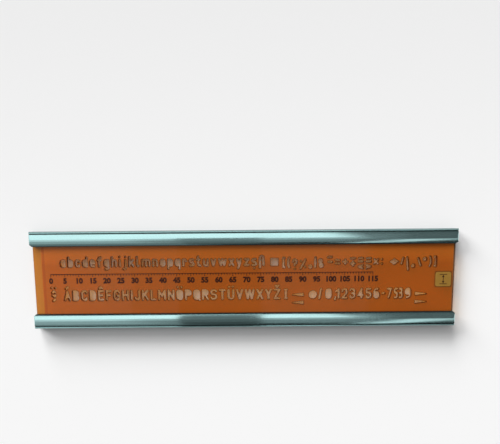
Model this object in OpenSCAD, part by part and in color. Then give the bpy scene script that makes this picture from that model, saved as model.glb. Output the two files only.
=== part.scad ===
// Lettering stencil for a tubular drawing pen: a transparent orange plate with two rows of letter
// slots, carried clear of the paper by an anodised aluminium rail along each long edge.
// Millimetres. X runs along the lines of writing, Y up the page, Z up from the paper.

/* [Plate] */
// Length of the plate along the writing
plate_l = 150; // [140:1:200]
// Width of the plate that shows between the two rails
plate_show_w = 24.2; // [23.5:0.1:32]
// Thickness of the plate
plate_t = 1.2; // [0.8:0.1:2]
// Clear height between the paper and the underside of the plate
plate_lift = 1.6; // [0.8:0.1:3]
// Rounding of the plate's four corners, inside the rails
plate_corner_r = 0.6; // [0.2:0.1:1.5]
// Width of the bevelled left end
bevel_w = 3.2; // [2:0.1:5]
// Height taken off the plate at the very end of the bevel
bevel_drop = 0.45; // [0.2:0.05:0.6]

/* [Rails] */
// Width of one rail
rail_w = 5.3; // [4.8:0.1:8]
// How far each rail runs past each end of the plate
rail_overhang = 0.5; // [0:0.1:3]
// Depth of the slot that holds the plate's edge
slot_depth = 2.4; // [1.5:0.1:3]
// Air left between the plate and each wall of that slot
slot_gap = 0.02; // [0:0.01:0.1]
// Height of the rail's crown above the top of the plate
crown_rise = 1.6; // [1:0.1:3]
// Radius of the domed top
crown_r = 4; // [3.5:0.1:8]
// Distance of the crown's highest line from the rail's inner edge
crown_inset = 2.4; // [1.8:0.1:3]
// Width of the round bead along the outer edge
bead_w = 0.8; // [0.5:0.1:1.2]
// How far the bead's top lies below the crown
bead_drop = 0.15; // [0:0.05:0.6]
// Width of the groove between the bead and the dome
groove_w = 0.45; // [0.3:0.05:0.8]
// Depth of that groove below the crown
groove_d = 0.7; // [0.4:0.05:1.1]
// Chamfer along the rail's lower edges
foot_chamfer = 0.3; // [0.1:0.05:0.5]
// Chamfer at each end of a rail's top
end_chamfer = 0.4; // [0.1:0.05:0.8]
// Corner cut off each end of a rail beside the plate
corner_cut = 0.7; // [0.3:0.05:1]

/* [Lettering] */
// Nominal height of the capitals that the pen draws
letter_h = 3.5; // [3.3:0.05:3.5]
// Width of the slots that the pen's tip runs in
pen_slot = 0.8; // [0.6:0.05:0.8]
// Plastic left between two neighbouring capitals
capital_web = 0.56; // [0.5:0.01:0.57]
// Plastic left between two neighbouring figures
figure_web = 0.52; // [0.48:0.01:0.56]
// Plastic left between two neighbouring small letters or signs
small_web = 0.58; // [0.5:0.01:0.6]
// Plastic left between a mark and what is next to it
mark_web = 0.12; // [0.1:0.01:0.2]
// Height of the capitals' baseline above the middle of the plate
capital_y = -7.2; // [-7.6:0.1:-6.6]
// Height of the small letters' baseline above the middle of the plate
small_y = 4.95; // [4.4:0.1:5.2]
// Height of the brackets' feet above the middle of the plate
sign_y = 4.1; // [3.9:0.1:4.2]
// Left end of the row of capitals
capital_x = -64.9; // [-65.2:0.1:-64.6]
// Left end of the row of small letters
small_x = -65.6; // [-66:0.1:-65]
// Left end of the capital I with serifs
serif_x = 14.3; // [14.2:0.05:14.6]
// Left end of the stroke before the figures
slash_x = 26.6; // [26.6:0.05:26.8]
// Left end of the row of figures
figure_x = 29.2; // [29:0.1:29.5]
// Left end of the opening brackets, the question mark and the per cent sign
sign_x = 13.7; // [13.3:0.1:14]
// Left end of the signs for sums
maths_x = 29.8; // [29.5:0.1:30]
// Left end of the strokes and closing brackets
closing_x = 55.8; // [55.7:0.1:56]
// Middle of the column of loose accents at the left end
accent_x = -68.4; // [-69.5:0.1:-68]

/* [Windows] */
// Side of the square window
square_side = 2.85; // [2:0.05:3.2]
// Middle of the square window along the plate
square_x = 10.9; // [10.5:0.1:11.5]
// Radius of the round hole
round_r = 1.5; // [1:0.05:1.8]
// Middle of the round hole along the plate
round_x = 24.7; // [24:0.1:25]
// Height of the round hole's middle above the middle of the plate
round_y = -5.9; // [-6.4:0.1:-5.5]
// Length of an arrowhead window
arrow_l = 4.2; // [3:0.1:4.6]
// Width of an arrowhead window at its wide end
arrow_w = 1.35; // [0.8:0.05:1.6]
// Width of an arrowhead window at its point
arrow_tip_w = 0.35; // [0.2:0.05:0.6]
// Distance between the two arrowheads of a pair
arrow_pitch = 2.9; // [2.4:0.1:3.2]
// Left end of the pair of arrowheads that point left
arrow_left_x = 17.2; // [16.5:0.1:17.6]
// Left end of the pair of arrowheads that point right
arrow_right_x = 61.3; // [61:0.1:66]
// Width of the diamond window
diamond_w = 3.6; // [2:0.1:4]
// Height of the diamond window
diamond_h = 2.4; // [1.5:0.1:3]
// Middle of the diamond window along the plate
diamond_x = 53.6; // [53.2:0.1:54]

/* [Size panel] */
// Length of the shallow panel for the lettering size
panel_l = 5.7; // [4:0.1:7]
// Height of the panel up the page
panel_h = 5.3; // [3:0.1:6]
// Depth of the panel below the plate's face
panel_d = 0.15; // [0.05:0.05:0.3]
// Rounding of the panel's corners
panel_r = 0.8; // [0.3:0.1:1.5]
// Plastic left between the panel and the plate's right end
panel_margin = 0.95; // [0.5:0.05:3]
// Height of the panel's middle above the middle of the plate
panel_y = -0.65; // [-1:0.05:0.5]

/* [Hidden] */
$fn = 48;
cut_over = 1;
plate_w = plate_show_w + 2 * (slot_depth - slot_gap);
plate_top = plate_lift + plate_t;
rail_l = plate_l + 2 * rail_overhang;
rail_h = plate_top + crown_rise;
dome_w = rail_w - bead_w - groove_w;
// The dome is drawn finely, because little of its circle is used
dome_steps = 180;
// Lettering sizes are kept to whole thousandths of a millimetre
function whole(v) = round(v * 1000) / 1000;
// One grid step of the lettering: a tenth of its nominal height
u = whole(letter_h / 10);
pen_r = whole(pen_slot / 2);
// How far a round pocket laps the sides of slanted slots, and how far these stop short of its middle
pen_lap = 0.004;
pen_stop = 0.02;
// A stretch shorter than this is left out, because two roundings meet there
shortest = 0.001;

// Ways of drawing with the pen. A point is [x, y] for a sharp corner, or [x, y, r] for a corner
// rounded with radius r, in grid steps from the left end of the baseline.
// Both ends are free and round
function stroke(p) = ["stroke", p];
// The first end lies on another stroke, the last end is free and round
function branch(p) = ["branch", p];
// Both ends lie on other strokes
function link(p) = ["link", p];
// A link that closes a counter: the counter would drop out, so it is cut right through
function bowl(p) = ["bowl", p];
// A closed path, with all that it goes round cut right through
function ring(p) = ["ring", p];
// The counter between strokes that are drawn apart
function patch(p) = ["patch", p];
// One touch of the pen
function dot(p) = ["dot", [p]];

// Each sign is its character, its width in grid steps, and its pen work
capitals = [
    ["A", 5, [stroke([[0, 0], [2.5, 9], [5, 0]]), link([[0.8, 2.9], [4.2, 2.9]]),
        patch([[0.8, 2.9], [2.5, 9], [4.2, 2.9]])]],
    ["B", 4.8, [stroke([[0, 0], [0, 9]]), bowl([[0, 9], [4.5, 9, 2.1], [4.5, 4.8, 2.1], [0, 4.8]]),
        link([[2.4, 4.8], [4.8, 4.8, 2.4], [4.8, 0, 2.4], [0, 0]]),
        patch([[0, 4.8], [2.4, 4.8], [4.8, 2.4], [2.4, 0], [0, 0]])]],
    ["C", 4.6, [stroke([[4.6, 7.2], [4.6, 9, 1.8], [0, 9, 2.5], [0, 0, 2.5], [4.6, 0, 1.8], [4.6, 1.8]])]],
    ["D", 5, [ring([[0, 0], [0, 9], [5, 9, 2.6], [5, 0, 2.6]])]],
    ["E", 4.2, [stroke([[4.2, 9], [0, 9], [0, 0], [4.2, 0]]), branch([[0, 4.6], [3.5, 4.6]])]],
    ["F", 4, [stroke([[4, 9], [0, 9], [0, 0]]), branch([[0, 4.6], [3.4, 4.6]])]],
    ["G", 4.9, [stroke([[4.7, 7.2], [4.7, 9, 1.8], [0, 9, 2.5], [0, 0, 2.5], [4.9, 0, 2], [4.9, 4.1],
        [3, 4.1]])]],
    ["H", 5, [stroke([[0, 0], [0, 9]]), stroke([[5, 0], [5, 9]]), link([[0, 4.6], [5, 4.6]])]],
    ["I", 0, [stroke([[0, 0], [0, 9]])]],
    ["J", 3.8, [stroke([[3.8, 9], [3.8, 0, 1.9], [0, 0, 1.9], [0, 1.9]])]],
    ["K", 4.8, [stroke([[0, 0], [0, 9]]), branch([[0, 3.2], [4.8, 9]]), branch([[1.9, 5.5], [4.8, 0]])]],
    ["L", 4, [stroke([[0, 9], [0, 0], [4, 0]])]],
    ["M", 6, [stroke([[0, 0], [0, 9], [3, 3.4], [6, 9], [6, 0]])]],
    ["N", 5, [stroke([[0, 0], [0, 9], [5, 0], [5, 9]])]],
    ["O", 5, [ring([[0, 0, 2.5], [0, 9, 2.5], [5, 9, 2.5], [5, 0, 2.5]])]],
    ["P", 4.8, [stroke([[0, 0], [0, 9]]), bowl([[0, 9], [4.8, 9, 2.4], [4.8, 4.2, 2.4], [0, 4.2]])]],
    ["Q", 5, [ring([[0, 0, 2.5], [0, 9, 2.5], [5, 9, 2.5], [5, 0, 2.5]]),
        branch([[3, 2.4], [5.3, -0.7]])]],
    ["R", 4.8, [stroke([[0, 0], [0, 9]]), bowl([[0, 9], [4.8, 9, 2.3], [4.8, 4.4, 2.3], [0, 4.4]]),
        branch([[2.4, 4.4], [4.8, 0]])]],
    ["S", 4.8, [stroke([[4.6, 7.8], [4.6, 9, 1.2], [0, 9, 2.2], [0, 4.6, 2.2], [4.8, 4.6, 2.3],
        [4.8, 0, 2.3], [0, 0, 1.2], [0, 1.2]])]],
    ["T", 5, [stroke([[0, 9], [5, 9]]), branch([[2.5, 9], [2.5, 0]])]],
    ["U", 5, [stroke([[0, 9], [0, 0, 2.5], [5, 0, 2.5], [5, 9]])]],
    ["V", 5, [stroke([[0, 9], [2.5, 0], [5, 9]])]],
    ["W", 8, [stroke([[0, 9], [2, 0], [4, 9], [6, 0], [8, 9]])]],
    ["X", 5, [stroke([[0, 0], [5, 9]]), stroke([[0, 9], [5, 0]])]],
    ["Y", 5, [stroke([[0, 9], [2.5, 4.4], [5, 9]]), branch([[2.5, 4.4], [2.5, 0]])]],
    ["Z", 5, [stroke([[0, 9], [5, 9], [0, 0], [5, 0]])]]
];

small_s = stroke([[3.4, 6], [0, 6, 1.45], [0, 3.1, 1.45], [3.7, 3.1, 1.55], [3.7, 0, 1.55], [0.2, 0]]);
// The last two are an s with a dot below and a sharp s
small_letters = [
    ["a", 3.7, [ring([[3.7, 0], [3.7, 6], [0, 6, 1.85], [0, 0, 1.85]])]],
    ["b", 3.7, [stroke([[0, 9], [0, 0]]), bowl([[0, 6], [3.7, 6, 1.85], [3.7, 0, 1.85], [0, 0]])]],
    ["c", 3.3, [stroke([[3.3, 4.7], [3.3, 6, 1.3], [0, 6, 1.65], [0, 0, 1.65], [3.3, 0, 1.3],
        [3.3, 1.3]])]],
    ["d", 3.7, [stroke([[3.7, 9], [3.7, 0]]), bowl([[3.7, 6], [0, 6, 1.85], [0, 0, 1.85], [3.7, 0]])]],
    ["e", 3.7, [branch([[0, 3], [3.7, 3], [3.7, 6, 1.85], [0, 6, 1.85], [0, 0, 1.85], [3.4, 0]]),
        patch([[0, 3], [3.7, 3], [3.7, 4.15], [1.85, 6], [0, 4.15]])]],
    ["f", 2.8, [stroke([[2.8, 9], [0.9, 9, 1.4], [0.9, 0]]), stroke([[-0.2, 6], [2.6, 6]])]],
    ["g", 3.7, [stroke([[3.7, 6], [3.7, -3, 1.85], [0.6, -3]]),
        bowl([[3.7, 6], [0, 6, 1.85], [0, 0, 1.85], [3.7, 0]])]],
    ["h", 3.7, [stroke([[0, 9], [0, 0]]), branch([[0, 6], [3.7, 6, 1.85], [3.7, 0]])]],
    ["i", 0, [stroke([[0, 6], [0, 0]]), dot([0, 9.4])]],
    ["j", 2, [stroke([[2, 6], [2, -3, 1.6], [0, -3]]), dot([2, 9.4])]],
    ["k", 3.8, [stroke([[0, 9], [0, 0]]), branch([[0, 2], [3.8, 6]]), branch([[1.4, 3.5], [3.8, 0]])]],
    ["l", 1.5, [stroke([[0, 9], [0, 0, 1.3], [1.5, 0]])]],
    ["m", 7.2, [stroke([[0, 0], [0, 6], [7.2, 6, 1.85], [7.2, 0]]), branch([[3.6, 6], [3.6, 0]])]],
    ["n", 3.7, [stroke([[0, 0], [0, 6], [3.7, 6, 1.85], [3.7, 0]])]],
    ["o", 3.7, [ring([[0, 0, 1.85], [0, 6, 1.85], [3.7, 6, 1.85], [3.7, 0, 1.85]])]],
    ["p", 3.7, [stroke([[0, 6], [0, -3]]), bowl([[0, 6], [3.7, 6, 1.85], [3.7, 0, 1.85], [0, 0]])]],
    ["q", 3.7, [stroke([[3.7, 6], [3.7, -3]]), bowl([[3.7, 6], [0, 6, 1.85], [0, 0, 1.85], [3.7, 0]])]],
    ["r", 2.7, [stroke([[0, 0], [0, 6], [2.7, 6, 1.3], [2.7, 4.7]])]],
    ["s", 3.7, [small_s]],
    ["t", 2.8, [stroke([[0.8, 9], [0.8, 0, 1.6], [2.8, 0]]), stroke([[-0.4, 6], [2.5, 6]])]],
    ["u", 3.7, [stroke([[0, 6], [0, 0, 1.85], [3.7, 0], [3.7, 6]])]],
    ["v", 3.8, [stroke([[0, 6], [1.9, 0], [3.8, 6]])]],
    ["w", 6.8, [stroke([[0, 6], [1.7, 0], [3.4, 6], [5.1, 0], [6.8, 6]])]],
    ["x", 3.8, [stroke([[0, 0], [3.8, 6]]), stroke([[0, 6], [3.8, 0]])]],
    ["y", 3.8, [stroke([[3.8, 6], [0.95, -3]]), branch([[1.9, 0], [0, 6]])]],
    ["z", 3.8, [stroke([[0, 6], [3.8, 6], [0, 0], [3.8, 0]])]],
    ["s.", 3.7, [small_s, dot([1.8, -3.1])]],
    ["ss", 3.7, [stroke([[0, -2.6], [0, 9, 1.8], [3.4, 9, 1.6], [3.4, 6], [2.9, 4.8], [3.7, 3.6],
        [3.7, 0]])]]
];

// The comma stands before the 1, and the 8 is drawn in two halves
figures = [
    ["0", 4.4, [ring([[0, 0, 2.2], [0, 9, 2.2], [4.4, 9, 2.2], [4.4, 0, 2.2]])]],
    ["1", 4.4, [stroke([[1.6, 6.6], [4.4, 9], [4.4, 0]]), stroke([[1.2, 0.4], [0.6, -1.6]])]],
    ["2", 4.4, [stroke([[0, 6.8], [0, 9, 2.2], [4.4, 9, 2.2], [4.4, 4.9, 1.6], [0, 0], [4.4, 0]])]],
    ["3", 4.4, [stroke([[0, 7.8], [0, 9, 1.2], [4.2, 9, 2.1], [4.2, 4.8, 2.1], [2, 4.8]]),
        branch([[2.1, 4.8], [4.4, 4.8, 2.3], [4.4, 0, 2.3], [0, 0, 1.8], [0, 1.8]])]],
    ["4", 4.6, [stroke([[3.4, 0], [3.4, 9], [0, 2.4], [4.6, 2.4]]),
        patch([[3.4, 2.4], [3.4, 9], [0, 2.4]])]],
    ["5", 4.4, [stroke([[4.1, 9], [0.3, 9], [0.3, 5.2], [4.4, 5.2, 2.4], [4.4, 0, 2.4], [0, 0, 1.8],
        [0, 1.8]])]],
    ["6", 4.4, [ring([[0, 0, 2.2], [0, 5.4, 2.2], [4.4, 5.4, 2.2], [4.4, 0, 2.2]]),
        branch([[0, 3], [0, 9, 2.8], [3.4, 9]])]],
    ["7", 3.4, [stroke([[0, 9], [3.4, 9], [1, 0]])]],
    ["8", 7.4, [stroke([[2.5, 9], [0, 9, 1.2], [0, 4.8, 1.2], [2.5, 4.8, 1.2], [2.5, 0, 1.2], [0, 0]]),
        stroke([[4.9, 9], [7.2, 9, 1.2], [7.2, 4.8, 1.2], [5.4, 4.8]]),
        branch([[5.4, 4.8], [7.4, 4.8, 1.3], [7.4, 0, 1.3], [4.9, 0]])]],
    ["9", 4.4, [ring([[0, 3.6, 2.2], [0, 9, 2.2], [4.4, 9, 2.2], [4.4, 3.6, 2.2]]),
        branch([[4.4, 6], [4.4, 0, 2.8], [1, 0]])]]
];

// Among these, ' stands for a short rising stroke, ! for a long falling one and | for a short one,
// o and * for a small ring low and high, and & for a paragraph mark
signs = [
    ["/", 2, [stroke([[0, -0.4], [2, 9.4]])]],
    ["'", 1.6, [stroke([[0, 2.6], [1.6, 8.4]])]],
    ["!", 1.2, [stroke([[1.2, -3.6], [0, 8.6]])]],
    ["|", 1.8, [stroke([[2.6, 0.6], [0, 7.8]])]],
    ["l", 0, [stroke([[0, 0], [0, 9.4]])]],
    ["-", 1.8, [stroke([[0, 4.5], [1.8, 4.5]])]],
    ["_", 3.4, [stroke([[0, 2.6], [3.4, 2.6]]), stroke([[-0.6, 7], [0.6, 7.8], [1.8, 7], [3, 7.8]])]],
    ["+", 4, [stroke([[0, 2.6], [4, 2.6]]), stroke([[2, 0.6], [2, 4.6]])]],
    ["=", 3.6, [stroke([[0, 0.9], [3.6, 0.9]]), stroke([[0, 4.3], [3.6, 4.3]])]],
    ["t", 4, [stroke([[0, 6], [4, 6]]), stroke([[0, 0.6], [4, 0.6]]), stroke([[2, -1.4], [2, 2.6]])]],
    ["<", 4, [stroke([[0, 6], [4, 6]]), stroke([[0, 2.7], [4, 2.7]]),
        stroke([[4, -1], [0, -2.6], [4, -4.2]])]],
    [">", 4, [stroke([[0, 6], [4, 6]]), stroke([[0, 2.7], [4, 2.7]]),
        stroke([[0, -1], [4, -2.6], [0, -4.2]])]],
    ["x", 3.6, [stroke([[0, 0.4], [3.6, 4.8]]), stroke([[0, 4.8], [3.6, 0.4]])]],
    [":", 0, [dot([0, 0.4]), dot([0, 4.8])]],
    ["%", 5, [stroke([[0, -1.5], [5, 7.5]]), dot([0.4, 5.9]), dot([4.6, 0.1])]],
    ["?", 3.6, [stroke([[0, 5.6], [0, 7.5, 1.8], [3.6, 7.5, 1.8], [3.6, 3.5, 1.8], [1.8, 3.5], [1.8, 2]]),
        dot([1.8, -1.6])]],
    ["[", 1, [stroke([[1, 9.4], [0, 9.4], [0, 0], [1, 0]])]],
    ["]", 1, [stroke([[0, 9.4], [1, 9.4], [1, 0], [0, 0]])]],
    ["(", 1, [stroke([[1, 9.4], [0, 7.4, 2.4], [0, 2, 2.4], [1, 0]])]],
    [")", 1, [stroke([[0, 9.4], [1, 7.4, 2.4], [1, 2, 2.4], [0, 0]])]],
    ["o", 2.2, [ring([[0, -0.8, 1.1], [0, 1.4, 1.1], [2.2, 1.4, 1.1], [2.2, -0.8, 1.1]])]],
    ["*", 2.2, [ring([[0, 6, 1.1], [0, 8.2, 1.1], [2.2, 8.2, 1.1], [2.2, 6, 1.1]])]],
    ["&", 3.6, [ring([[0, 4.4, 1.4], [0, 7.4, 1.4], [2.8, 7.4, 1.4], [2.8, 4.4, 1.4]]),
        ring([[0.8, 0, 1.4], [0.8, 3, 1.4], [3.6, 3, 1.4], [3.6, 0, 1.4]])]],
    ["I", 1.7, [stroke([[0, 0], [1.7, 0]]), stroke([[0, 9], [1.7, 9]]), link([[0.85, 0], [0.85, 9]])]]
];

// Marks that stand over a capital, drawn about their own middle
roof = [stroke([[-1.4, -0.7], [0, 0.7], [1.4, -0.7]])];
hook = [stroke([[-1.4, 0.7], [0, -0.7], [1.4, 0.7]])];
pair = [dot([-1.9, 0]), dot([1.9, 0])];
slant = [stroke([[-0.9, -0.8], [0.9, 0.8]])];
// Each marked letter and its mark
marks = [["E", roof], ["O", pair], ["U", pair], ["Z", hook], ["A", slant]];
// The loose accents at the left end, from the capitals' baseline up
accents = [slant, hook, roof, pair];

// The glyph of one character in a table
function glyph(table, c) = [for (g = table) if (g[0] == c) g][0];
// Room that the first n characters of a row take up
function row_x(table, words, web, n) =
    n == 0 ? 0 : row_x(table, words, web, n - 1) + glyph(table, words[n - 1])[1] * u + pen_slot + web;
// The letters of the alphabet in a table's own order
function names(table) = [for (g = table) g[0]];
function place_of(list, c) = [for (i = [0:len(list) - 1]) if (list[i] == c) i][0];

// The top of a sign, and how far the tallest of the accents reaches from its middle, in grid steps
function top_of(works) = max([for (work = works) for (p = work[1]) p.y]);
mark_reach = max([for (m = accents) top_of(m)]);
// Height of a mark's middle above the baseline of its capital, and from one loose accent to the next
function mark_lift(works) = (top_of(works) + mark_reach) * u + pen_slot + mark_web;
accent_pitch = 2 * mark_reach * u + pen_slot + mark_web;

// Heading of the line from a to b, and the turn made at b on the way from a to c
function heading(a, b) = atan2(b.y - a.y, b.x - a.x);
function turn(a, b, c) =
    let (d = heading(b, c) - heading(a, b)) d > 180 ? d - 360 : d <= -180 ? d + 360 : d;
function round_of(p) = len(p) > 2 ? p[2] * u : 0;
function on_plate(p) = [p.x * u, p.y * u];
function toward(a, b, d) = a + (b - a) * d / norm(b - a);
// Distance from corner b to where its rounding starts
function setback(a, b, c) = round_of(b) * tan(abs(turn(a, b, c)) / 2);
// Lines along X or Y, and corners between two such lines
function is_level(a, b) = a.x == b.x || a.y == b.y;
function is_square(a, b, c) = is_level(a, b) && is_level(b, c);

// A flat piece as thick as the plate and a little over, to be cut out of it
module through(h) {
    translate([0, 0, -cut_over])
        linear_extrude(h + 2 * cut_over)
            children();
}

// Straight stretch of slot with square ends
module straight(a, b, h) {
    length = norm(b - a);
    if (length > shortest)
        translate([a.x, a.y, -cut_over])
            rotate(heading(a, b))
                translate([0, -pen_r, 0])
                    cube([length, 2 * pen_r, h + 2 * cut_over]);
}

// Part of a round washer about the origin, from angle a over the angle sweep
module sector(inner, outer, a, sweep, h) {
    translate([0, 0, -cut_over])
        rotate(a)
            rotate_extrude(angle = sweep)
                translate([inner, 0])
                    square([outer - inner, h + 2 * cut_over]);
}

// Round pocket where slanted stretches meet or end; it laps their sides by a hair
module pocket(p, h) {
    translate([p.x, p.y, -cut_over])
        cylinder(r = pen_r + pen_lap, h = h + 2 * cut_over);
}

// Round end of a slot at b, coming from a
module round_end(a, b, h) {
    if (is_level(a, b))
        translate([b.x, b.y, 0])
            sector(0, pen_r, heading(a, b) - 90, 180, h);
    else
        pocket(b, h);
}

// Slot round the corner b on the way from a to c; solid cuts its inside away as well
module corner(a, b, c, solid, h) {
    t = turn(a, b, c);
    side = t > 0 ? 1 : -1;
    r = round_of(b);
    start = toward(on_plate(b), on_plate(a), setback(a, b, c));
    across = heading(a, b) + 90 * side;
    middle = start + r * [cos(across), sin(across)];
    if (r > 0 || is_square(a, b, c))
        translate([middle.x, middle.y, 0])
            sector(solid ? 0 : max(0, r - pen_r), r + pen_r, side > 0 ? across - 180 : across + 180 + t,
                abs(t), h);
    if (!is_square(a, b, c)) {
        pocket(start, h);
        if (r > 0)
            pocket(toward(on_plate(b), on_plate(c), setback(a, b, c)), h);
    }
}

// Slot along a list of points; a closed one joins its last point to its first
module path(points, closed, solid, h) {
    n = len(points);
    last = closed ? n - 1 : n - 2;
    for (i = [0:last]) {
        a = points[i];
        b = points[(i + 1) % n];
        before = points[(i + n - 1) % n];
        after = points[(i + 2) % n];
        joins_a = closed || i > 0;
        joins_b = closed || i < n - 2;
        square_a = joins_a ? is_square(before, a, b) : is_level(a, b);
        square_b = joins_b ? is_square(a, b, after) : is_level(a, b);
        from = (joins_a ? setback(before, a, b) : 0) + (square_a ? 0 : pen_stop);
        to = (joins_b ? setback(a, b, after) : 0) + (square_b ? 0 : pen_stop);
        straight(toward(on_plate(a), on_plate(b), from), toward(on_plate(b), on_plate(a), to), h);
        if (joins_b)
            corner(a, b, after, solid, h);
    }
    if (solid)
        through(h)
            polygon([for (i = [0:n - 1]) each corner_points(points, i, closed)]);
}

// Where the rounding of corner i starts and ends, or the point itself where it is sharp
function corner_points(points, i, closed) =
    let (n = len(points), b = points[i], a = points[(i + n - 1) % n], c = points[(i + 1) % n],
        bent = round_of(b) > 0 && (closed || (i > 0 && i < n - 1)), d = bent ? setback(a, b, c) : 0)
    bent ? [toward(on_plate(b), on_plate(a), d), toward(on_plate(b), on_plate(c), d)] : [on_plate(b)];

// All that the pen does for one piece of a sign
module pen_work(work, h) {
    kind = work[0];
    p = work[1];
    n = len(p);
    if (kind == "dot")
        translate([on_plate(p[0]).x, on_plate(p[0]).y, -cut_over])
            cylinder(r = pen_r, h = h + 2 * cut_over);
    else if (kind == "patch")
        through(h)
            polygon([for (q = p) on_plate(q)]);
    else
        path(p, kind == "ring", kind == "ring" || kind == "bowl", h);
    if (kind == "stroke")
        round_end(on_plate(p[1]), on_plate(p[0]), h);
    if (kind == "stroke" || kind == "branch")
        round_end(on_plate(p[n - 2]), on_plate(p[n - 1]), h);
}

module sign_cut(works, h) {
    union() {
        for (work = works)
            pen_work(work, h);
    }
}

// A row of signs from one table; the first slot's left edge is at the origin
module row(table, words, web, h) {
    for (i = [0:len(words) - 1])
        translate([pen_r + row_x(table, words, web, i), 0, 0])
            sign_cut(glyph(table, words[i])[2], h);
}

// The two rows of slots, from the underside of the plate up
module lettering(h) {
    translate([capital_x, capital_y, 0])
        row(capitals, names(capitals), capital_web, h);
    translate([small_x, small_y, 0])
        row(small_letters, names(small_letters), small_web, h);
    translate([figure_x, capital_y, 0])
        row(concat(figures, signs), "0123456-789", figure_web, h);
    translate([serif_x, capital_y, 0])
        row(signs, "I", capital_web, h);
    translate([slash_x, capital_y, 0])
        row(signs, "/", capital_web, h);
    translate([sign_x, sign_y, 0])
        row(signs, "[(?%ol&", small_web, h);
    translate([maths_x, small_y, 0])
        row(signs, "_=+t<>x:", small_web, h);
    translate([closing_x, sign_y, 0])
        row(signs, "'!o|*)]", small_web, h);
    for (i = [0:len(accents) - 1])
        translate([accent_x, capital_y + i * accent_pitch, 0])
            sign_cut(accents[i], h);
    for (m = marks) {
        i = place_of(names(capitals), m[0]);
        translate([capital_x + pen_r + row_x(capitals, names(capitals), capital_web, i)
            + capitals[i][1] * u / 2, capital_y + mark_lift(capitals[i][2]), 0])
            sign_cut(m[1], h);
    }
}

// Arrowhead window with its point at the origin and its wide end to the right
module arrowhead(h) {
    through(h)
        polygon([[0, -arrow_tip_w / 2], [arrow_l, -arrow_w / 2], [arrow_l, arrow_w / 2],
            [0, arrow_tip_w / 2]]);
}

module windows(h) {
    translate([square_x, small_y + square_side / 2 - pen_r, -cut_over])
        translate([-square_side / 2, -square_side / 2, 0])
            cube([square_side, square_side, h + 2 * cut_over]);
    translate([round_x, round_y, -cut_over])
        cylinder(r = round_r, h = h + 2 * cut_over);
    translate([diamond_x, small_y + diamond_h / 2 - pen_r, 0])
        through(h)
            polygon([[-diamond_w / 2, 0], [0, -diamond_h / 2], [diamond_w / 2, 0], [0, diamond_h / 2]]);
    for (i = [0, 1]) {
        translate([arrow_left_x, round_y - i * arrow_pitch, 0])
            arrowhead(h);
        translate([arrow_right_x + arrow_l, round_y - i * arrow_pitch, 0])
            mirror([1, 0, 0])
                arrowhead(h);
    }
}

// Flat outline of a block with rounded corners, about its middle
module rounded(l, w, r) {
    square([l - 2 * r, w], center = true);
    square([l, w - 2 * r], center = true);
    for (x = [-1, 1], y = [-1, 1])
        translate([x * (l / 2 - r), y * (w / 2 - r)])
            circle(r = r);
}

module plate_blank() {
    difference() {
        linear_extrude(plate_t)
            rounded(plate_l, plate_w, plate_corner_r);
        translate([0, plate_w / 2 + cut_over, 0])
            rotate([90, 0, 0])
                linear_extrude(plate_w + 2 * cut_over)
                    polygon([[-plate_l / 2 - cut_over, plate_t - bevel_drop * (1 + cut_over / bevel_w)],
                        [-plate_l / 2 + bevel_w, plate_t],
                        [-plate_l / 2 + bevel_w, plate_t + cut_over],
                        [-plate_l / 2 - cut_over, plate_t + cut_over]]);
    }
}

module stencil_plate() {
    color([0.66, 0.33, 0.09])
        translate([0, 0, plate_lift])
            difference() {
                plate_blank();
                lettering(plate_t);
                windows(plate_t);
                translate([plate_l / 2 - panel_margin - panel_l / 2, panel_y, plate_t - panel_d])
                    linear_extrude(panel_d + cut_over)
                        rounded(panel_l, panel_h, panel_r);
            }
}

// Section of a rail: x is the distance from its inner edge, y the height above the paper
module rail_section() {
    difference() {
        union() {
            intersection() {
                square([dome_w, rail_h]);
                translate([crown_inset, rail_h - crown_r])
                    circle(r = crown_r, $fn = dome_steps);
            }
            square([rail_w, rail_h - groove_d]);
            translate([rail_w - bead_w, 0])
                square([bead_w, rail_h - bead_drop - bead_w / 2]);
            translate([rail_w - bead_w / 2, rail_h - bead_drop - bead_w / 2])
                circle(d = bead_w);
        }
        translate([-cut_over, plate_lift - slot_gap])
            square([slot_depth + cut_over, plate_t + 2 * slot_gap]);
        polygon([[rail_w - foot_chamfer, 0], [rail_w + cut_over, -cut_over],
            [rail_w + cut_over, foot_chamfer + cut_over], [rail_w, foot_chamfer]]);
        polygon([[foot_chamfer, 0], [0, foot_chamfer], [-cut_over, foot_chamfer], [-cut_over, -cut_over],
            [foot_chamfer, -cut_over]]);
    }
}

// One rail along X, its inner edge on the X axis and its outer edge towards -Y
module rail() {
    intersection() {
        translate([0, 0, -cut_over])
            linear_extrude(rail_h + 2 * cut_over)
                polygon([[-rail_l / 2 + corner_cut, 0], [-rail_l / 2, -corner_cut], [-rail_l / 2, -rail_w],
                    [rail_l / 2, -rail_w], [rail_l / 2, -corner_cut], [rail_l / 2 - corner_cut, 0]]);
        translate([-rail_l / 2, 0, 0])
            rotate([90, 0, 90])
                mirror([1, 0])
                    linear_extrude(rail_l)
                        rail_section();
        translate([0, cut_over, 0])
            rotate([90, 0, 0])
                linear_extrude(rail_w + 2 * cut_over)
                    polygon([[-rail_l / 2, 0], [rail_l / 2, 0], [rail_l / 2, rail_h - end_chamfer],
                        [rail_l / 2 - end_chamfer, rail_h], [-rail_l / 2 + end_chamfer, rail_h],
                        [-rail_l / 2, rail_h - end_chamfer]]);
    }
}

module lower_rail() {
    color([0.60, 0.72, 0.71])
        translate([0, -plate_show_w / 2, 0])
            rail();
}

module upper_rail() {
    color([0.60, 0.72, 0.71])
        mirror([0, 1, 0])
            translate([0, -plate_show_w / 2, 0])
                rail();
}

stencil_plate();
upper_rail();
lower_rail();
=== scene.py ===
import math

import bmesh
import bpy
from mathutils import Euler, Matrix, Vector


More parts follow.
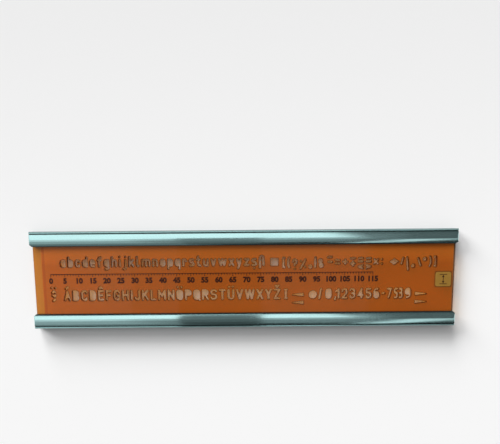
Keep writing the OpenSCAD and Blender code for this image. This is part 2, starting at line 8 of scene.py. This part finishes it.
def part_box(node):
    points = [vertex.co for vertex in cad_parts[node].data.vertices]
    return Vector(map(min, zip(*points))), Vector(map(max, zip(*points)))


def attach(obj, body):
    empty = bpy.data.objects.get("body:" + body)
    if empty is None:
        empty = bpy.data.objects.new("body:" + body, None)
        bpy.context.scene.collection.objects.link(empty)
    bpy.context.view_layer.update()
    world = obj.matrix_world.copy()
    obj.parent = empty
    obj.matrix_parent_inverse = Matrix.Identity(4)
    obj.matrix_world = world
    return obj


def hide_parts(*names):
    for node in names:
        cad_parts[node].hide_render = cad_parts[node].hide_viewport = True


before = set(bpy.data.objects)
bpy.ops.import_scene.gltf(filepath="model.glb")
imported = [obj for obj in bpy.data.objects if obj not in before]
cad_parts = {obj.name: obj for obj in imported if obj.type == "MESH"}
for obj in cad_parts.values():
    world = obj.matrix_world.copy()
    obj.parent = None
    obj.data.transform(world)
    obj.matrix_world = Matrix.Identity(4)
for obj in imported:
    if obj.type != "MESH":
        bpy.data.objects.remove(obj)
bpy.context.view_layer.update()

# Camera: 18 cm above the paper and a little past the upper rail, looking almost straight down, as the
# photograph was taken. The shift keeps the stencil in the lower half of the frame.
MM = 0.001
camera = bpy.data.objects.new("camera", bpy.data.cameras.new("camera"))
bpy.context.collection.objects.link(camera)
camera.data.sensor_width = 36
camera.data.lens = 36
camera.data.shift_y = 0.1152
camera.data.clip_start = 5 * MM
camera.location = Vector((2.45, 24.6, 179.8)) * MM
camera.rotation_euler = Euler([math.radians(a) for a in (-7.995, 0.03, -0.486)])
bpy.context.scene.camera = camera
bpy.context.scene.view_settings.view_transform = "Standard"


# Floor: a wide sheet of smooth white board that the stencil's rails stand on. It is matt, and its
# colour alone makes the pale background, with painted shade that makes it a little greyer beyond the stencil.
def new_material(name):
    material = bpy.data.materials.new(name)
    material.use_nodes = True
    return material, material.node_tree.nodes["Principled BSDF"]


def add_node(tree, kind, inputs=None, **settings):
    node = tree.nodes.new("ShaderNode" + kind)
    for name, value in settings.items():
        setattr(node, name, value)
    for name, value in (inputs or {}).items():
        if isinstance(value, bpy.types.NodeSocket):
            tree.links.new(value, node.inputs[name])
        else:
            node.inputs[name].default_value = value
    return node


def new_piece(name, bm, material):
    mesh = bpy.data.meshes.new(name)
    bm.to_mesh(mesh)
    bm.free()
    piece = bpy.data.objects.new(name, mesh)
    bpy.context.collection.objects.link(piece)
    mesh.materials.append(material)
    return piece


board, board_shader = new_material("white_board")
tree = board.node_tree
place = add_node(tree, "TexCoord").outputs["Object"]
up_the_page = add_node(tree, "SeparateXYZ", {0: place}).outputs[1]
# Painted shade: the board is painted greyer up the page, beyond the stencil
beyond = add_node(tree, "MapRange", {"Value": up_the_page, "From Min": -5 * MM, "From Max": 90 * MM})
board_painted_falloff = add_node(tree, "Mix", {0: beyond.outputs[0], 6: (0.93, 0.93, 0.93, 1), 7: (0.85, 0.85, 0.85, 1)},
                 data_type="RGBA")
tree.links.new(board_painted_falloff.outputs[2], board_shader.inputs["Base Color"])
board_shader.inputs["Roughness"].default_value = 0.9
board_shader.inputs["Specular IOR Level"].default_value = 0.1
bm = bmesh.new()
bmesh.ops.create_grid(bm, x_segments=1, y_segments=1, size=4)
floor = new_piece("floor", bm, board)

# Lights: two low, wide windows far beyond the upper rail and to the left, which throw the lower rail's
# soft shadow down the page, a skylight over them, and an even room all round.
def soft_light(name, strength, spread, away):
    lamp = bpy.data.lights.new(name, "SUN")
    lamp.energy = strength
    lamp.angle = math.radians(spread)
    light = bpy.data.objects.new(name, lamp)
    bpy.context.collection.objects.link(light)
    light.rotation_euler = Vector(away).to_track_quat("Z", "Y").to_euler()
    # The rails mirror the cards below and not the lamps
    light.visible_glossy = False


soft_light("window", 2.95, 27, (-1.22, 3.76, 1.44))
soft_light("side_window", 2.95, 27, (-3.03, 2.54, 1.44))
soft_light("skylight", 0.37, 36, (-1.42, 3.02, 5.34))

world = bpy.data.worlds.new("room")
bpy.context.scene.world = world
world.use_nodes = True
room = world.node_tree
background = room.nodes["Background"]
background.inputs["Color"].default_value = (1, 1, 1, 1)
background.inputs["Strength"].default_value = 0.26
pale_wall = add_node(room, "Background", {"Color": (1, 1, 1, 1), "Strength": 0.85})
seen = add_node(room, "LightPath").outputs["Is Camera Ray"]
mixed = add_node(room, "MixShader", {0: seen, 1: background.outputs[0], 2: pale_wall.outputs[0]})
room.links.new(mixed.outputs[0], room.nodes["World Output"].inputs["Surface"])

# Cards: flat cards hung over the table, as in a studio, which only show as the bright and dark bands
# along the polished rails.
def lay_card(name, brightness, corners):
    bm = bmesh.new()
    for corner in corners:
        bm.verts.new(corner)
    bmesh.ops.contextual_create(bm, geom=bm.verts[:])
    card_material, card_shader = new_material(name)
    card_shader.inputs["Base Color"].default_value = (0, 0, 0, 1)
    card_shader.inputs["Specular IOR Level"].default_value = 0
    card_shader.inputs["Emission Color"].default_value = (1, 1, 1, 1)
    card_shader.inputs["Emission Strength"].default_value = brightness
    card_material.cycles.emission_sampling = "NONE"
    card = new_piece(name, bm, card_material)
    card.visible_camera = False
    card.visible_diffuse = False
    card.visible_transmission = False
    card.visible_shadow = False


# A card covers a range of tilts from straight up, first up the page and then along the writing, in
# degrees. Its corners lie at its reach, in metres, so a card of small reach hides one of large reach.
def hang_card(name, brightness, tilts, leans, reach):
    corners = []
    for tilt, lean in [(0, 0), (1, 0), (1, 1), (0, 1)]:
        way = Vector((math.tan(math.radians(leans[lean])), math.tan(math.radians(tilts[tilt])), 1))
        corners.append(way.normalized() * reach)
    lay_card(name, brightness, corners)


hang_card("bright_card", 1.15, (1, 40), (-65, 16), 0.50)
hang_card("over_card", 0.45, (-16, 1), (-18, 18), 0.52)
hang_card("over_left_card", 0.75, (-16, 1), (-65, -18), 0.52)
hang_card("ceiling_card", 0.24, (-43, -16), (-18, 18), 0.52)
hang_card("ceiling_left_card", 0.40, (-43, -16), (-65, -18), 0.52)
hang_card("near_card", 0.04, (-89, -43), (-14, 75), 0.54)
hang_card("near_left_card", 0.18, (-89, -43), (-75, -14), 0.54)
hang_card("right_card", 0.12, (-50, 75), (16, 75), 1.1)
hang_card("far_card", 0.06, (40, 86), (-65, 65), 0.56)
hang_card("strip_card", 0.85, (-57, -19), (28, 37), 0.33)
# One more card hangs low over the rails, left of the middle, in four strips that grow darker down the
# page
left, right, height = -29, 7, 40
for name, brightness, near, far in [("low_card_1", 0.24, 0, 16), ("low_card_2", 0.17, -18, 0),
                                    ("low_card_3", 0.12, -34, -18), ("low_card_4", 0.07, -60, -34)]:
    outline = ((left, near, height), (right, near, height), (right, far, height), (left, far, height))
    lay_card(name, brightness, [Vector(corner) * MM for corner in outline])

# Stencil plate: one moulded sheet of clear orange plastic, polished on both faces, with the slots
# milled through it. The slots' walls are matt from the cutter, and painted dark brown as shade. The
# left end is bevelled, and a shallow panel for the size inlay lies near the right end.
plate_low, plate_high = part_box("stencil_plate")
face_z = plate_high.z
bevel_edge = plate_low.x / MM + 3.1
right_edge = plate_high.x / MM
panel_l, panel_h, panel_margin, panel_y, panel_shade_w = 5.7, 5.3, 0.95, -0.65, 0.45
panel_x = right_edge - panel_margin - panel_l / 2


def effect(name, inputs, outputs):
    group = bpy.data.node_groups.new(name, "ShaderNodeTree")
    for label, default in inputs:
        socket = group.interface.new_socket(label, in_out="INPUT", socket_type="NodeSocketFloat")
        socket.default_value = default
    for label in outputs:
        group.interface.new_socket(label, in_out="OUTPUT", socket_type="NodeSocketFloat")
    return group, group.nodes.new("NodeGroupInput"), group.nodes.new("NodeGroupOutput")


def place_effect(tree, group, **values):
    node = tree.nodes.new("ShaderNodeGroup")
    node.node_tree = group
    for label, value in values.items():
        node.inputs[label].default_value = value
    return node


# Fine scratches and finger smudges, as both the plastic and the metal have from use
wear, wear_in, wear_out = effect("wear", [("scratch_size", 900.0), ("smudge_size", 45.0)],
                                 ["scratches", "smudges"])
place = add_node(wear, "TexCoord").outputs["Object"]
stretched = add_node(wear, "Mapping", {"Vector": place, "Rotation": (0, 0, 0.5), "Scale": (0.08, 1, 1)})
lines = add_node(wear, "TexNoise", {"Vector": stretched.outputs[0], "Scale": wear_in.outputs[0],
                                    "Detail": 3.0, "Roughness": 0.7})
thin = add_node(wear, "MapRange", {"Value": lines.outputs[0], "From Min": 0.62, "From Max": 0.72})
clouds = add_node(wear, "TexNoise", {"Vector": place, "Scale": wear_in.outputs[1], "Detail": 4.0})
soft = add_node(wear, "MapRange", {"Value": clouds.outputs[0], "From Min": 0.4, "From Max": 0.7})
wear.links.new(thin.outputs[0], wear_out.inputs[0])
wear.links.new(soft.outputs[0], wear_out.inputs[1])

orange, plastic = new_material("orange_plastic")
tree = orange.node_tree
plastic.inputs["IOR"].default_value = 1.49
plastic.inputs["Transmission Weight"].default_value = 0.52
plastic.inputs["Specular IOR Level"].default_value = 0.12
place = add_node(tree, "TexCoord").outputs["Object"]
spot = add_node(tree, "SeparateXYZ", {0: place})
along = spot.outputs[0]
facing = add_node(tree, "SeparateXYZ", {0: add_node(tree, "NewGeometry").outputs["Normal"]})
upright = add_node(tree, "Math", {0: facing.outputs[2]}, operation="ABSOLUTE")
wall = add_node(tree, "MapRange", {"Value": upright.outputs[0], "From Min": 0.8, "From Max": 0.2})
tint = add_node(tree, "TexNoise", {"Vector": place, "Scale": 14.0, "Detail": 2.0})
body = add_node(tree, "Mix", {0: tint.outputs[0], 6: (0.45, 0.118, 0.0125, 1), 7: (0.49, 0.143, 0.0165, 1)},
                data_type="RGBA")
# Painted light: the plastic is painted a little lighter towards the upper rail and the left end
rail_side_painted_light = add_node(tree, "MapRange", {"Value": spot.outputs[1], "From Min": 5 * MM, "From Max": 11.5 * MM})
near_left = add_node(tree, "MapRange", {"Value": along, "From Min": -20 * MM, "From Max": -72 * MM,
                                        "To Max": 0.28})
painted_light_mask = add_node(tree, "Math", {0: rail_side_painted_light.outputs[0], 1: near_left.outputs[0]}, operation="ADD",
                    use_clamp=True)
body = add_node(tree, "Mix", {0: painted_light_mask.outputs[0], 6: body.outputs[2], 7: (0.78, 0.225, 0.025, 1)},
                data_type="RGBA")
bevelled = add_node(tree, "MapRange", {"Value": along, "From Min": bevel_edge * MM,
                                       "From Max": (bevel_edge - 0.3) * MM})
golden = add_node(tree, "Mix", {0: bevelled.outputs[0], 6: body.outputs[2], 7: (0.54, 0.210, 0.025, 1)},
                  data_type="RGBA")
# Painted shade: the plastic is painted darker and redder where the bevel begins, and dark along the
# square right end and round the panel that holds the size inlay
bevel_crease_shade = add_node(tree, "Math", {0: along, 1: (bevel_edge + 0.5) * MM, 2: 0.5 * MM}, operation="COMPARE")
bevel_crease_shade = add_node(tree, "Math", {0: bevel_crease_shade.outputs[0], 1: 0.45}, operation="MULTIPLY")
golden = add_node(tree, "Mix", {0: bevel_crease_shade.outputs[0], 6: golden.outputs[2], 7: (0.42, 0.085, 0.015, 1)},
                  data_type="RGBA")
# Painted shade along the square right end
right_end_shade = add_node(tree, "MapRange", {"Value": along, "From Min": (right_edge - 0.65) * MM,
                                        "From Max": (right_edge - 0.4) * MM})
golden = add_node(tree, "Mix", {0: right_end_shade.outputs[0], 6: golden.outputs[2], 7: (0.24, 0.12, 0.06, 1)},
                  data_type="RGBA")
# Painted shade round the inlay's panel
beside = add_node(tree, "Math", {0: along, 1: panel_x * MM}, operation="SUBTRACT")
beside = add_node(tree, "Math", {0: beside.outputs[0]}, operation="ABSOLUTE")
above = add_node(tree, "Math", {0: spot.outputs[1], 1: panel_y * MM}, operation="SUBTRACT")
above = add_node(tree, "Math", {0: above.outputs[0]}, operation="ABSOLUTE")
above = add_node(tree, "Math", {0: above.outputs[0], 1: (panel_l - panel_h) / 2 * MM}, operation="ADD")
outside = add_node(tree, "Math", {0: beside.outputs[0], 1: above.outputs[0]}, operation="MAXIMUM")
panel_shade = add_node(tree, "MapRange", {"Value": outside.outputs[0], "From Min": (panel_l / 2 + panel_shade_w) * MM,
                                     "From Max": (panel_l / 2 + panel_shade_w / 3) * MM, "To Max": 0.6})
golden = add_node(tree, "Mix", {0: panel_shade.outputs[0], 6: golden.outputs[2], 7: (0.20, 0.085, 0.020, 1)},
                  data_type="RGBA")
# Painted shade: a dark line round each slot, off the bevel, where the normals near its edge bend
softened = add_node(tree, "Bevel", {"Radius": 0.45 * MM}, samples=8)
turned = add_node(tree, "VectorMath", {0: softened.outputs[0],
                                       1: add_node(tree, "NewGeometry").outputs["Normal"]},
                  operation="DOT_PRODUCT")
painted_slot_shade = add_node(tree, "MapRange", {"Value": turned.outputs["Value"], "From Min": 0.995,
                                        "From Max": 0.88, "To Max": 0.9})
unbevelled = add_node(tree, "Math", {0: 1.0, 1: bevelled.outputs[0]}, operation="SUBTRACT")
painted_slot_shade = add_node(tree, "Math", {0: painted_slot_shade.outputs[0], 1: unbevelled.outputs[0]},
                     operation="MULTIPLY")
golden = add_node(tree, "Mix", {0: painted_slot_shade.outputs[0], 6: golden.outputs[2], 7: (0.06, 0.018, 0.004, 1)},
                  data_type="RGBA")
# Painted shade: the slots' walls are painted dark brown
cut = add_node(tree, "Mix", {0: wall.outputs[0], 6: golden.outputs[2], 7: (0.15, 0.046, 0.009, 1)},
               data_type="RGBA")
tree.links.new(cut.outputs[2], plastic.inputs["Base Color"])
used = place_effect(tree, wear, scratch_size=1400.0, smudge_size=40.0)
sheen = add_node(tree, "Math", {0: used.outputs["smudges"], 1: 0.10, 2: 0.05}, operation="MULTIPLY_ADD")
matt = add_node(tree, "Mix", {0: wall.outputs[0], 2: sheen.outputs[0], 3: 0.5})
tree.links.new(matt.outputs[0], plastic.inputs["Roughness"])
dents = add_node(tree, "Bump", {"Height": used.outputs["scratches"], "Strength": 0.25, "Distance": 0.01 * MM})
tree.links.new(dents.outputs[0], plastic.inputs["Normal"])
lamp_ray = add_node(tree, "LightPath").outputs["Is Shadow Ray"]
through = add_node(tree, "BsdfTransparent", {"Color": (0.56, 0.42, 0.20, 1)})
both = add_node(tree, "MixShader", {0: lamp_ray, 1: plastic.outputs[0], 2: through.outputs[0]})
tree.links.new(both.outputs[0], tree.nodes["Material Output"].inputs["Surface"])
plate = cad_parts["stencil_plate"]
plate.data.materials.clear()
plate.data.materials.append(orange)

# Rails: two lengths of one drawn aluminium profile, anodised, with a slot for the plate, a domed top
# and a bead along the outer edge. They are sawn off and lightly chamfered at the ends.
rail_low, rail_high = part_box("upper_rail")
rail_inner = rail_low.y / MM
rail_outer = rail_high.y / MM
rail_end = rail_high.x / MM
rail_top = rail_high.z / MM
foot, slot_deep, slot_gap, end_chamfer, corner_cut, edge_round = 0.3, 2.4, 0.02, 0.4, 0.7, 0.05
crown, inner_r, outer_r, groove_w, groove_deep = 2.4, 4.0, 5.6, 0.26, 0.85
bead_w, bead_drop, lip_w, lip_step, lip_fall = 0.45, 0.12, 0.25, 0.1, 0.4

metal_grain, grain_in, grain_out = effect("drawn_lines", [("fineness", 1.0)], ["lines", "broad"])
place = add_node(metal_grain, "TexCoord").outputs["Object"]
drawn = add_node(metal_grain, "Mapping", {"Vector": place, "Scale": (90, 5200, 5200)})
fine = add_node(metal_grain, "TexNoise", {"Vector": drawn.outputs[0], "Scale": grain_in.outputs[0],
                                          "Detail": 3.0})
wide = add_node(metal_grain, "Mapping", {"Vector": place, "Scale": (25, 900, 900)})
slow = add_node(metal_grain, "TexNoise", {"Vector": wide.outputs[0], "Scale": grain_in.outputs[0],
                                          "Detail": 2.0})
metal_grain.links.new(fine.outputs[0], grain_out.inputs[0])
metal_grain.links.new(slow.outputs[0], grain_out.inputs[1])

aluminium, metal = new_material("anodised_aluminium")
tree = aluminium.node_tree
metal.inputs["Metallic"].default_value = 1.0
place = add_node(tree, "TexCoord").outputs["Object"]
grain = place_effect(tree, metal_grain, fineness=1.0)
used = place_effect(tree, wear, scratch_size=1100.0, smudge_size=60.0)
film = add_node(tree, "Mix", {0: grain.outputs["broad"], 6: (0.465, 0.755, 0.758, 1),
                              7: (0.55, 0.84, 0.835, 1)}, data_type="RGBA")
split = add_node(tree, "SeparateXYZ", {0: place})
distance = add_node(tree, "Math", {0: split.outputs[0]}, operation="ABSOLUTE")
sawn = add_node(tree, "MapRange", {"Value": distance.outputs[0], "From Min": (rail_end - 0.08) * MM,
                                   "From Max": (rail_end - 0.04) * MM})
bare = add_node(tree, "Mix", {0: sawn.outputs[0], 6: film.outputs[2], 7: (0.80, 0.81, 0.81, 1)},
                data_type="RGBA")
# Painted shade: dark in the groove beside the bead, along the plate, and on the lip outside the bead
across = add_node(tree, "Math", {0: split.outputs[1]}, operation="ABSOLUTE")
lip_start = rail_outer - lip_w
groove_middle = lip_start - bead_w - groove_w / 2
in_groove = add_node(tree, "Math", {0: across.outputs[0], 1: groove_middle * MM, 2: 0.15 * MM},
                     operation="COMPARE")
low_down = add_node(tree, "MapRange", {"Value": split.outputs[2], "From Min": (rail_top - 0.35) * MM,
                                       "From Max": (rail_top - 0.55) * MM})
groove = add_node(tree, "Math", {0: in_groove.outputs[0], 1: low_down.outputs[0]}, operation="MULTIPLY")
lip = add_node(tree, "MapRange", {"Value": across.outputs[0], "From Min": (lip_start + 0.01) * MM,
                                  "From Max": (lip_start + 0.07) * MM, "To Max": 0.75})
joint = add_node(tree, "MapRange", {"Value": across.outputs[0], "From Min": (rail_inner + 0.4) * MM,
                                    "From Max": (rail_inner + 0.2) * MM, "To Max": 0.75})
painted_rail_shade = add_node(tree, "Math", {0: groove.outputs[0], 1: lip.outputs[0]}, operation="MAXIMUM")
painted_rail_shade = add_node(tree, "Math", {0: painted_rail_shade.outputs[0], 1: joint.outputs[0]}, operation="MAXIMUM")
rail_shaded = add_node(tree, "Mix", {0: painted_rail_shade.outputs[0], 6: bare.outputs[2], 7: (0.05, 0.075, 0.075, 1)},
                 data_type="RGBA")
tree.links.new(rail_shaded.outputs[2], metal.inputs["Base Color"])
dull = add_node(tree, "Math", {0: grain.outputs["lines"], 1: 0.10, 2: 0.09}, operation="MULTIPLY_ADD")
touched = add_node(tree, "Math", {0: used.outputs["smudges"], 1: 0.06, 2: dull.outputs[0]},
                   operation="MULTIPLY_ADD")
tree.links.new(touched.outputs[0], metal.inputs["Roughness"])
ridges = add_node(tree, "Bump", {"Height": grain.outputs["lines"], "Strength": 0.25, "Distance": 0.01 * MM})
marks = add_node(tree, "Bump", {"Height": used.outputs["scratches"], "Strength": 0.2, "Distance": 0.01 * MM,
                                "Normal": ridges.outputs[0]})
tree.links.new(marks.outputs[0], metal.inputs["Normal"])


def add_line(bm, start, across, up):
    made = bmesh.ops.extrude_vert_indiv(bm, verts=[start])["verts"][0]
    made.co = Vector((start.co.x, across * MM, up * MM))
    return made


def add_arc(bm, start, across, up, turn, steps):
    made = bmesh.ops.spin(bm, geom=[start], cent=(start.co.x, across * MM, up * MM), axis=(1, 0, 0),
                          angle=math.radians(turn), steps=steps)["geom_last"]
    return [v for v in made if isinstance(v, bmesh.types.BMVert)][0]


def make_rail(name, node, side):
    low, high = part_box(node)
    width = (high.y - low.y) / MM
    height = high.z / MM
    slot_low = plate_low.z / MM - slot_gap
    slot_high = plate_high.z / MM + slot_gap
    dome_w = width - lip_w - bead_w - groove_w
    bead_start = dome_w + groove_w
    inner_turn = math.asin(crown / inner_r)
    outer_turn = math.asin((dome_w - crown) / outer_r)
    bm = bmesh.new()
    first = bm.verts.new((low.x, foot * MM, 0))
    v = first
    for across, up in [(0, foot), (0, slot_low), (slot_deep, slot_low), (slot_deep, slot_high),
                       (0, slot_high), (0, height - inner_r * (1 - math.cos(inner_turn)))]:
        v = add_line(bm, v, across, up)
    v = add_arc(bm, v, crown, height - inner_r, -math.degrees(inner_turn), 20)
    v = add_arc(bm, v, crown, height - outer_r, -math.degrees(outer_turn), 20)
    bead_z = height - bead_drop - bead_w / 2
    for across, up in [(dome_w, height - groove_deep), (bead_start, height - groove_deep),
                       (bead_start, bead_z)]:
        v = add_line(bm, v, across, up)
    v = add_arc(bm, v, bead_start + bead_w / 2, bead_z, -180, 16)
    for across, up in [(width - lip_w, bead_z - lip_step), (width, bead_z - lip_fall), (width, foot),
                       (width - foot, 0)]:
        v = add_line(bm, v, across, up)
    bm.edges.new((v, first))
    face = bmesh.ops.contextual_create(bm, geom=bm.edges[:])["faces"]
    swept = bmesh.ops.extrude_face_region(bm, geom=face)["geom"]
    bmesh.ops.translate(bm, vec=(high.x - low.x, 0, 0),
                        verts=[g for g in swept if isinstance(g, bmesh.types.BMVert)])
    # The chamfer over each end and the corner cut off beside the plate, both at 45 degrees
    for end in (-1, 1):
        for point, facing_out in [((high.x - end_chamfer * MM, 0, high.z), (1, 0, 1)),
                                  ((high.x - corner_cut * MM, 0, 0), (1, -1, 0))]:
            cut = bmesh.ops.bisect_plane(bm, geom=bm.verts[:] + bm.edges[:] + bm.faces[:],
                                         plane_co=(end * point[0], point[1], point[2]),
                                         plane_no=(end * facing_out[0], facing_out[1], facing_out[2]),
                                         clear_outer=True)["geom_cut"]
            bmesh.ops.holes_fill(bm, edges=[g for g in cut if isinstance(g, bmesh.types.BMEdge)], sides=0)
    # Lay the profile along the plate's edge, its inner edge towards the plate
    inner = abs(low.y) if side > 0 else abs(high.y)
    for v in bm.verts:
        v.co.y = side * (v.co.y + inner)
    bmesh.ops.recalc_face_normals(bm, faces=bm.faces[:])
    sharp = [e for e in bm.edges if e.is_manifold and e.calc_face_angle() > math.radians(25)]
    bmesh.ops.bevel(bm, geom=sharp, affect="EDGES", offset=edge_round * MM, segments=2, profile=0.5,
                    material=-1)
    for f in bm.faces:
        f.smooth = True
    rail = new_piece(name, bm, aluminium)
    even = rail.modifiers.new("even_shading", "WEIGHTED_NORMAL")
    even.keep_sharp = True
    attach(rail, "root")
    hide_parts(node)


make_rail("lower_rail_profile", "lower_rail", -1)
make_rail("upper_rail_profile", "upper_rail", 1)

# Printed scale: a plain millimetre scale with its numbers, in dark brown ink on the plate's upper
# face between the two rows of slots.
ink, ink_shader = new_material("brown_ink")
tree = ink.node_tree
place = add_node(tree, "TexCoord").outputs["Object"]
worn = add_node(tree, "TexNoise", {"Vector": place, "Scale": 900.0, "Detail": 3.0})
shade = add_node(tree, "Mix", {0: worn.outputs[0], 6: (0.018, 0.004, 0.002, 1), 7: (0.050, 0.010, 0.003, 1)},
                 data_type="RGBA")
tree.links.new(shade.outputs[2], ink_shader.inputs["Base Color"])
ink_shader.inputs["Roughness"].default_value = 0.5
ink_shader.inputs["Specular IOR Level"].default_value = 0.3

ink_thick = 0.012 * MM
scale_start, scale_length, scale_y = -69, 115, 2.15
tick_w, short_tick, long_tick, line_w = 0.24, 0.6, 1.0, 0.26
number_h, number_drop, number_swell = 2.6, 3.25, 0.15


def add_block(bm, size, middle):
    made = bmesh.ops.create_cube(bm, size=1)["verts"]
    bmesh.ops.scale(bm, vec=size, verts=made)
    bmesh.ops.translate(bm, vec=middle, verts=made)


bm = bmesh.new()
for tick in range(scale_length + 1):
    tick_l = long_tick if tick % 5 == 0 else short_tick
    add_block(bm, (tick_w * MM, tick_l * MM, ink_thick),
              ((scale_start + tick) * MM, (scale_y - tick_l / 2) * MM, face_z + ink_thick / 4))
add_block(bm, ((scale_length + tick_w) * MM, line_w * MM, ink_thick),
          ((scale_start + scale_length / 2) * MM, scale_y * MM, face_z + ink_thick / 4))


def add_number(bm, number, x, y):
    curve = bpy.data.curves.new("number", "FONT")
    curve.body = str(number)
    curve.size = number_h * MM
    curve.extrude = ink_thick / 2
    curve.offset = number_swell * MM
    curve.align_x = "CENTER"
    curve.resolution_u = 3
    flat = bpy.data.objects.new("number", curve)
    bpy.context.collection.objects.link(flat)
    mesh = bpy.data.meshes.new_from_object(flat.evaluated_get(bpy.context.evaluated_depsgraph_get()))
    mesh.transform(Matrix.Translation((x * MM, y * MM, face_z + ink_thick / 4)))
    bm.from_mesh(mesh)
    bpy.data.objects.remove(flat)
    bpy.data.meshes.remove(mesh)


for number in range(0, scale_length + 1, 5):
    add_number(bm, number, scale_start + number, scale_y - number_drop)
printed = new_piece("printed_scale", bm, ink)
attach(printed, "root")

# Size inlay: a small plate of dull gold foil bedded in the moulded panel near the right end, with the
# sign for a height, an arrow between two lines, stamped on it.
foil, foil_shader = new_material("gold_foil")
tree = foil.node_tree
place = add_node(tree, "TexCoord").outputs["Object"]
cloud = add_node(tree, "TexNoise", {"Vector": place, "Scale": 500.0, "Detail": 4.0})
shade = add_node(tree, "Mix", {0: cloud.outputs[0], 6: (0.30, 0.155, 0.022, 1), 7: (0.44, 0.24, 0.045, 1)},
                 data_type="RGBA")
tree.links.new(shade.outputs[2], foil_shader.inputs["Base Color"])
foil_shader.inputs["Roughness"].default_value = 0.4
foil_shader.inputs["Metallic"].default_value = 0.3
grit = add_node(tree, "TexNoise", {"Vector": place, "Scale": 3500.0})
rough = add_node(tree, "Bump", {"Height": grit.outputs[0], "Strength": 0.3, "Distance": 0.02 * MM})
tree.links.new(rough.outputs[0], foil_shader.inputs["Normal"])

inlay_gap, inlay_thick, inlay_drop, inlay_r = 0.03, 0.13, 0.02, 0.78
inlay_top = face_z - inlay_drop * MM
bm = bmesh.new()
add_block(bm, ((panel_l - 2 * inlay_gap) * MM, (panel_h - 2 * inlay_gap) * MM, inlay_thick * MM),
          (panel_x * MM, panel_y * MM, inlay_top - inlay_thick / 2 * MM))
corners = [e for e in bm.edges if abs(e.verts[0].co.z - e.verts[1].co.z) > 0.1 * MM]
bmesh.ops.bevel(bm, geom=corners, affect="EDGES", offset=inlay_r * MM, segments=10, profile=0.5, material=-1)
rim = [e for e in bm.edges if e.calc_face_angle() > math.radians(60)
       and min(v.co.z for v in e.verts) > face_z - 0.05 * MM]
bmesh.ops.bevel(bm, geom=rim, affect="EDGES", offset=0.03 * MM, segments=2, profile=0.5, material=-1)
inlay = new_piece("size_inlay", bm, foil)
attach(inlay, "root")

line_l, line_away, arrow_l, head_r, stroke, stamp_thick = 2.6, 1.7, 2.2, 0.55, 0.22, 0.02
bm = bmesh.new()
for side in (-1, 1):
    add_block(bm, (line_l * MM, stroke * MM, stamp_thick * MM),
              (panel_x * MM, (panel_y + side * line_away) * MM, inlay_top))
    head = bmesh.ops.create_circle(bm, cap_ends=True, segments=3, radius=head_r * MM)["verts"]
    bmesh.ops.rotate(bm, verts=head, matrix=Matrix.Rotation(0 if side > 0 else math.pi, 3, "Z"))
    bmesh.ops.translate(bm, verts=head, vec=(panel_x * MM, (panel_y + side) * MM,
                                             inlay_top + stamp_thick / 2 * MM))
add_block(bm, (stroke * MM, arrow_l * MM, stamp_thick * MM), (panel_x * MM, panel_y * MM, inlay_top))
stamp = new_piece("size_stamp", bm, ink)
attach(stamp, "root")
